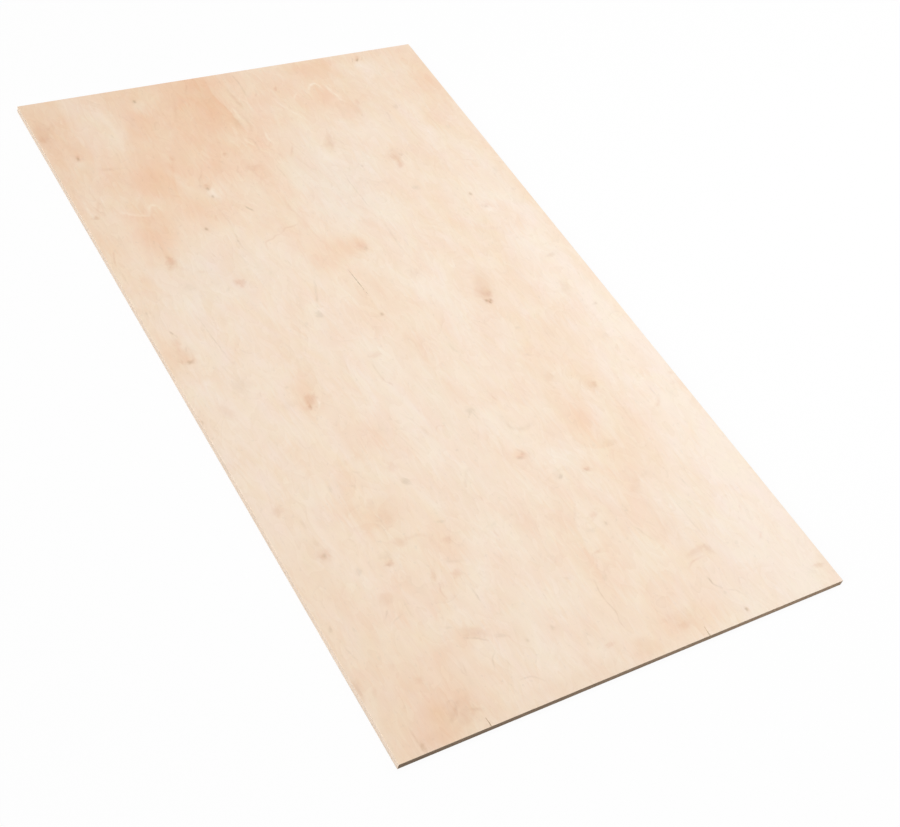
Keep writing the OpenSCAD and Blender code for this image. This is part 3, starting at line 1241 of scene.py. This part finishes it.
def face_material(name, layer):
    """Sanded rotary-cut birch: fibres, pores and faint growth rings along Y, under the marks in the mesh."""
    s = Shader(name)
    axes = s.node("ShaderNodeSeparateXYZ", Vector=s.place)
    across = s.math("ADD", axes.outputs["X"], s.field("sway"))
    grain = s.node("ShaderNodeCombineXYZ", X=across, Y=axes.outputs["Y"], Z=layer).outputs[0]
    fibres = s.noise(grain, FIBRES)
    pores = s.remap(s.noise(grain, PORES), *PORE_CUT)
    bands = s.noise(grain, BANDS)
    blush = s.noise(grain, BLUSH)
    flecks = s.noise(grain, FLECKS)

    # Clouds in soft steps, with edges feathered along the grain
    feather = s.spread(s.noise(grain, FEATHERS), -FEATHER_REACH, FEATHER_REACH)
    shift = s.node("ShaderNodeCombineXYZ", Y=feather).outputs[0]
    feathered = s.node("ShaderNodeVectorMath", {"operation": "ADD"}, _0=grain, _1=shift).outputs["Vector"]
    clouds = s.noise(feathered, CLOUDS)
    steps = s.math("DIVIDE", s.math("FLOOR", s.math("MULTIPLY", clouds, CLOUD_STEPS)), CLOUD_STEPS)
    smooth = s.math("MULTIPLY", clouds, 1 - CLOUD_STEP_SHARE)
    clouds = s.math("ADD", smooth, s.math("MULTIPLY", steps, CLOUD_STEP_SHARE))

    # Growth rings as saw teeth: small crinkles, a figure that shows in patches, and a few dark ring edges
    flakes = s.noise(grain, FLAKES)
    crinkle = s.math("SUBTRACT", s.math("FRACT", s.math("MULTIPLY", flakes, CRINKLES)), 0.5)
    rings = s.math("FRACT", s.math("MULTIPLY", s.noise(grain, RINGS), RING_COUNT))
    shown = s.remap(s.noise(grain, RING_PATCHES), *RING_PATCH_CUT)
    figure = s.math("MULTIPLY", s.math("SUBTRACT", rings, 0.5), shown)
    sparse = s.remap(s.noise(grain, RING_EDGES), *RING_EDGE_CUT)
    ring_edge = s.math("MULTIPLY", s.math("POWER", rings, RING_EDGE_POWER), sparse)

    warmth = s.remap(clouds, *CLOUD_RANGE, USUAL_WARMTH - CLOUD_WARMTH, USUAL_WARMTH + CLOUD_WARMTH)
    warmth = s.math("ADD", s.field("warmth"), warmth)
    warmth = s.math("ADD", warmth, s.math("MULTIPLY", crinkle, CRINKLE_WARMTH))
    warmth = s.math("ADD", warmth, s.math("MULTIPLY", figure, FIGURE_WARMTH), clamp=True)
    light = s.math("ADD", s.field("tone"), s.spread(bands, 1 - BAND_LIGHT, 1 + BAND_LIGHT))
    light = s.math("ADD", light, s.spread(fibres, -FIBRE_LIGHT, FIBRE_LIGHT))
    shades = (
        (crinkle, CRINKLE_SHADE),
        (pores, PORE_SHADE),
        (figure, FIGURE_SHADE),
        (ring_edge, RING_EDGE_SHADE),
    )
    for value, shade in shades:
        light = s.math("SUBTRACT", light, s.math("MULTIPLY", value, shade))
    light = s.math("SUBTRACT", light, s.remap(flecks, *DARK_FLECKS))
    light = s.math("ADD", light, s.remap(flecks, *PALE_FLECKS))

    wood = s.times(s.ramp(warmth, (0, CREAM), (BIRCH_WARMTH, BIRCH), (1, HONEY)), light)
    wood = s.mix(1, wood, s.ramp(blush, (NOISE_LOW, YELLOWISH), (NOISE_HIGH, PINKISH)), "MULTIPLY")
    uneven = s.spread(fibres, *MARK_UNEVEN)
    for mark, colour in (("rust", RUST), ("umber", UMBER)):
        wood = s.mix(s.math("MULTIPLY", s.field(mark), uneven, clamp=True), wood, colour)
    height = s.math("SUBTRACT", fibres, s.math("MULTIPLY", pores, PORE_DEPTH))
    return s.finish(wood, s.spread(fibres, *FACE_ROUGHNESS), FACE_SPECULAR, height, FACE_BUMP)


# Wood of the edges: long grain, end grain and glue, how uneven they are, and how much paler towards +x as
# painted light
EdgeWood = namedtuple("EdgeWood", "pale dark glue uneven fade")
LONG_EDGE_WOOD = EdgeWood(
    pale=(0.88, 0.75, 0.63, 1), dark=(0.7, 0.56, 0.435, 1), glue=(0.42, 0.29, 0.2, 1), uneven=0.1, fade=0)
# The short edges are much darker than the long ones, partly as end grain and partly as painted shade, and
# paler towards +x as painted light
SHORT_EDGE_WOOD_AND_SHADE = EdgeWood(
    pale=(0.42, 0.3, 0.205, 1), dark=(0.26, 0.177, 0.112, 1), glue=(0.135, 0.072, 0.04, 1), uneven=0.28,
    fade=0.28)

# Noises of the edges, and how far they darken and lighten the wood, as shares of its unevenness
STREAKS = Noise((22, 22, 1500), 3, 0.6)
SPECKS = Noise((900, 900, 1100), 2, 0.7)
BLOTCHES = Noise((9, 9, 160), 3, 0.6)
STREAK_SWING = (0.7, 0.5)
SPECK_SWING = (1, 1)
BLOTCH_SWING = (0.7, 0.6)
EDGE_ROUGHNESS = (0.62, 0.8)
EDGE_SPECULAR = 0.2
EDGE_BUMP = 0.4


def edge_material(name, edge):
    """Sawn edge: long-grain veneers streaked along it, speckled end grain and dark glue lines, a painted
    light gradient along it where it has one, a darker upper arris and a painted shadow along its foot.
    """
    s = Shader(name)
    streaks = s.noise(s.place, STREAKS)
    specks = s.noise(s.place, SPECKS)
    blotches = s.noise(s.place, BLOTCHES)

    def varied(colour, value, swing):
        darker, lighter = swing
        return s.times(colour, s.spread(value, 1 - darker * edge.uneven, 1 + lighter * edge.uneven))

    long_grain = varied(edge.pale, streaks, STREAK_SWING)
    cut_grain = varied(edge.dark, specks, SPECK_SWING)
    wood = s.mix(s.field("end_grain"), long_grain, cut_grain)
    wood = varied(wood, blotches, BLOTCH_SWING)
    wood = s.mix(s.field("glue"), wood, edge.glue)
    along = s.node("ShaderNodeSeparateXYZ", Vector=s.place).outputs["X"]
    half = WIDTH / 2 * MM
    # Painted light: paler towards +x
    wood = s.times(wood, s.remap(along, -half, half, 1 - edge.fade, 1 + edge.fade))
    # A little darker by the upper arris, and a painted shadow along the foot near the front left corner
    wood = s.mix(s.field("umber"), wood, UMBER)
    height = s.math("ADD", streaks, specks)
    return s.finish(wood, s.spread(specks, *EDGE_ROUGHNESS), EDGE_SPECULAR, height, EDGE_BUMP)


TOP_LAYER = 0
BACK_LAYER = 3.7


def dress_panel():
    mesh = panel_mesh("plywood_panel")
    mesh.materials.append(face_material("birch face", TOP_LAYER))
    mesh.materials.append(face_material("birch back", BACK_LAYER))
    mesh.materials.append(edge_material("sawn long edge", LONG_EDGE_WOOD))
    mesh.materials.append(edge_material("sawn short edge with painted shade", SHORT_EDGE_WOOD_AND_SHADE))
    panel = bpy.data.objects.new("plywood_panel", mesh)
    bpy.context.scene.collection.objects.link(panel)
    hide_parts(PANEL_NODE)
    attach(panel, "root")


# Studio, in metres

FLOOR_HALF = 40
FLOOR_DROP = 0.0005
FLOOR_COLOUR = (0.95, 0.95, 0.95, 1)
FLOOR_GLOW = 0.93
WHITE = (1, 1, 1, 1)
AMBIENT = 0.3


def seen_directly(tree):
    """1 for what the camera sees, straight or mirrored or through glass, and 0 for light on the object."""
    path = tree.nodes.new("ShaderNodeLightPath")
    total = path.outputs["Is Camera Ray"]
    for ray in ("Is Glossy Ray", "Is Transmission Ray"):
        either = tree.nodes.new("ShaderNodeMath")
        either.operation = "MAXIMUM"
        tree.links.new(total, either.inputs[0])
        tree.links.new(path.outputs[ray], either.inputs[1])
        total = either.outputs[0]
    return total


def add_floor():
    """A white floor that catches shadows, and glows for the camera so that it looks white."""
    corners = [(x * FLOOR_HALF, y * FLOOR_HALF, -FLOOR_DROP) for x, y in SQUARE]
    mesh = bpy.data.meshes.new("floor")
    mesh.from_pydata(corners, [], [(0, 1, 2, 3)])
    s = Shader("white floor")
    for key, value in (("Base_Color", FLOOR_COLOUR), ("Roughness", 1), ("Specular_IOR_Level", 0)):
        s.put(s.surface, key, value)
    glow = s.node("ShaderNodeEmission", Color=WHITE, Strength=1)
    share = s.math("MULTIPLY", seen_directly(s.tree), FLOOR_GLOW)
    both = s.node("ShaderNodeMixShader", _0=share, _1=s.surface.outputs[0], _2=glow.outputs[0])
    s.put(s.output, "Surface", both.outputs[0])
    mesh.materials.append(s.material)
    floor = bpy.data.objects.new("floor", mesh)
    bpy.context.scene.collection.objects.link(floor)


def add_world():
    """White for the camera, and a weaker ambient light for the object."""
    world = bpy.data.worlds.new("studio")
    world.use_nodes = True
    bpy.context.scene.world = world
    tree = world.node_tree
    strength = tree.nodes.new("ShaderNodeMapRange")
    strength.inputs["To Min"].default_value = AMBIENT
    strength.inputs["To Max"].default_value = 1
    tree.links.new(seen_directly(tree), strength.inputs["Value"])
    back = tree.nodes["Background"]
    back.inputs["Color"].default_value = WHITE
    tree.links.new(strength.outputs["Result"], back.inputs["Strength"])


def add_softbox(name, at, aim, wide, deep, power):
    lamp = bpy.data.lights.new(name, "AREA")
    lamp.shape = "RECTANGLE"
    lamp.size = wide
    lamp.size_y = deep
    lamp.energy = power
    box = bpy.data.objects.new(name, lamp)
    box.location = at
    box.rotation_euler = (Vector(aim) - Vector(at)).to_track_quat("-Z", "Y").to_euler()
    bpy.context.scene.collection.objects.link(box)


def add_sun(name, direction, spread, strength):
    lamp = bpy.data.lights.new(name, "SUN")
    lamp.angle = math.radians(spread)
    lamp.energy = strength
    sun = bpy.data.objects.new(name, lamp)
    sun.rotation_euler = Vector(direction).to_track_quat("-Z", "Y").to_euler()
    bpy.context.scene.collection.objects.link(sun)


def add_camera(at, aim, roll, lens):
    data = bpy.data.cameras.new("camera")
    data.lens = lens
    camera = bpy.data.objects.new("camera", data)
    camera.location = at
    level = (Vector(aim) - Vector(at)).to_track_quat("-Z", "Y")
    camera.rotation_mode = "QUATERNION"
    camera.rotation_quaternion = level @ Quaternion((0, 0, 1), math.radians(roll))
    bpy.context.scene.collection.objects.link(camera)
    bpy.context.scene.camera = camera


dress_panel()
add_floor()
add_world()
add_softbox("overhead", at=(1.5, -0.1, 3.2), aim=(0.7, -0.1, 0), wide=3, deep=6.4, power=86)
add_sun("left key", direction=(0.88, 0.1, -0.46), spread=40, strength=1.8)
add_camera(at=(-1.8289, -2.1769, 2.7402), aim=(-0.0334, -0.2882, 0.018), roll=18, lens=62.52)
bpy.context.scene.view_settings.view_transform = "Standard"
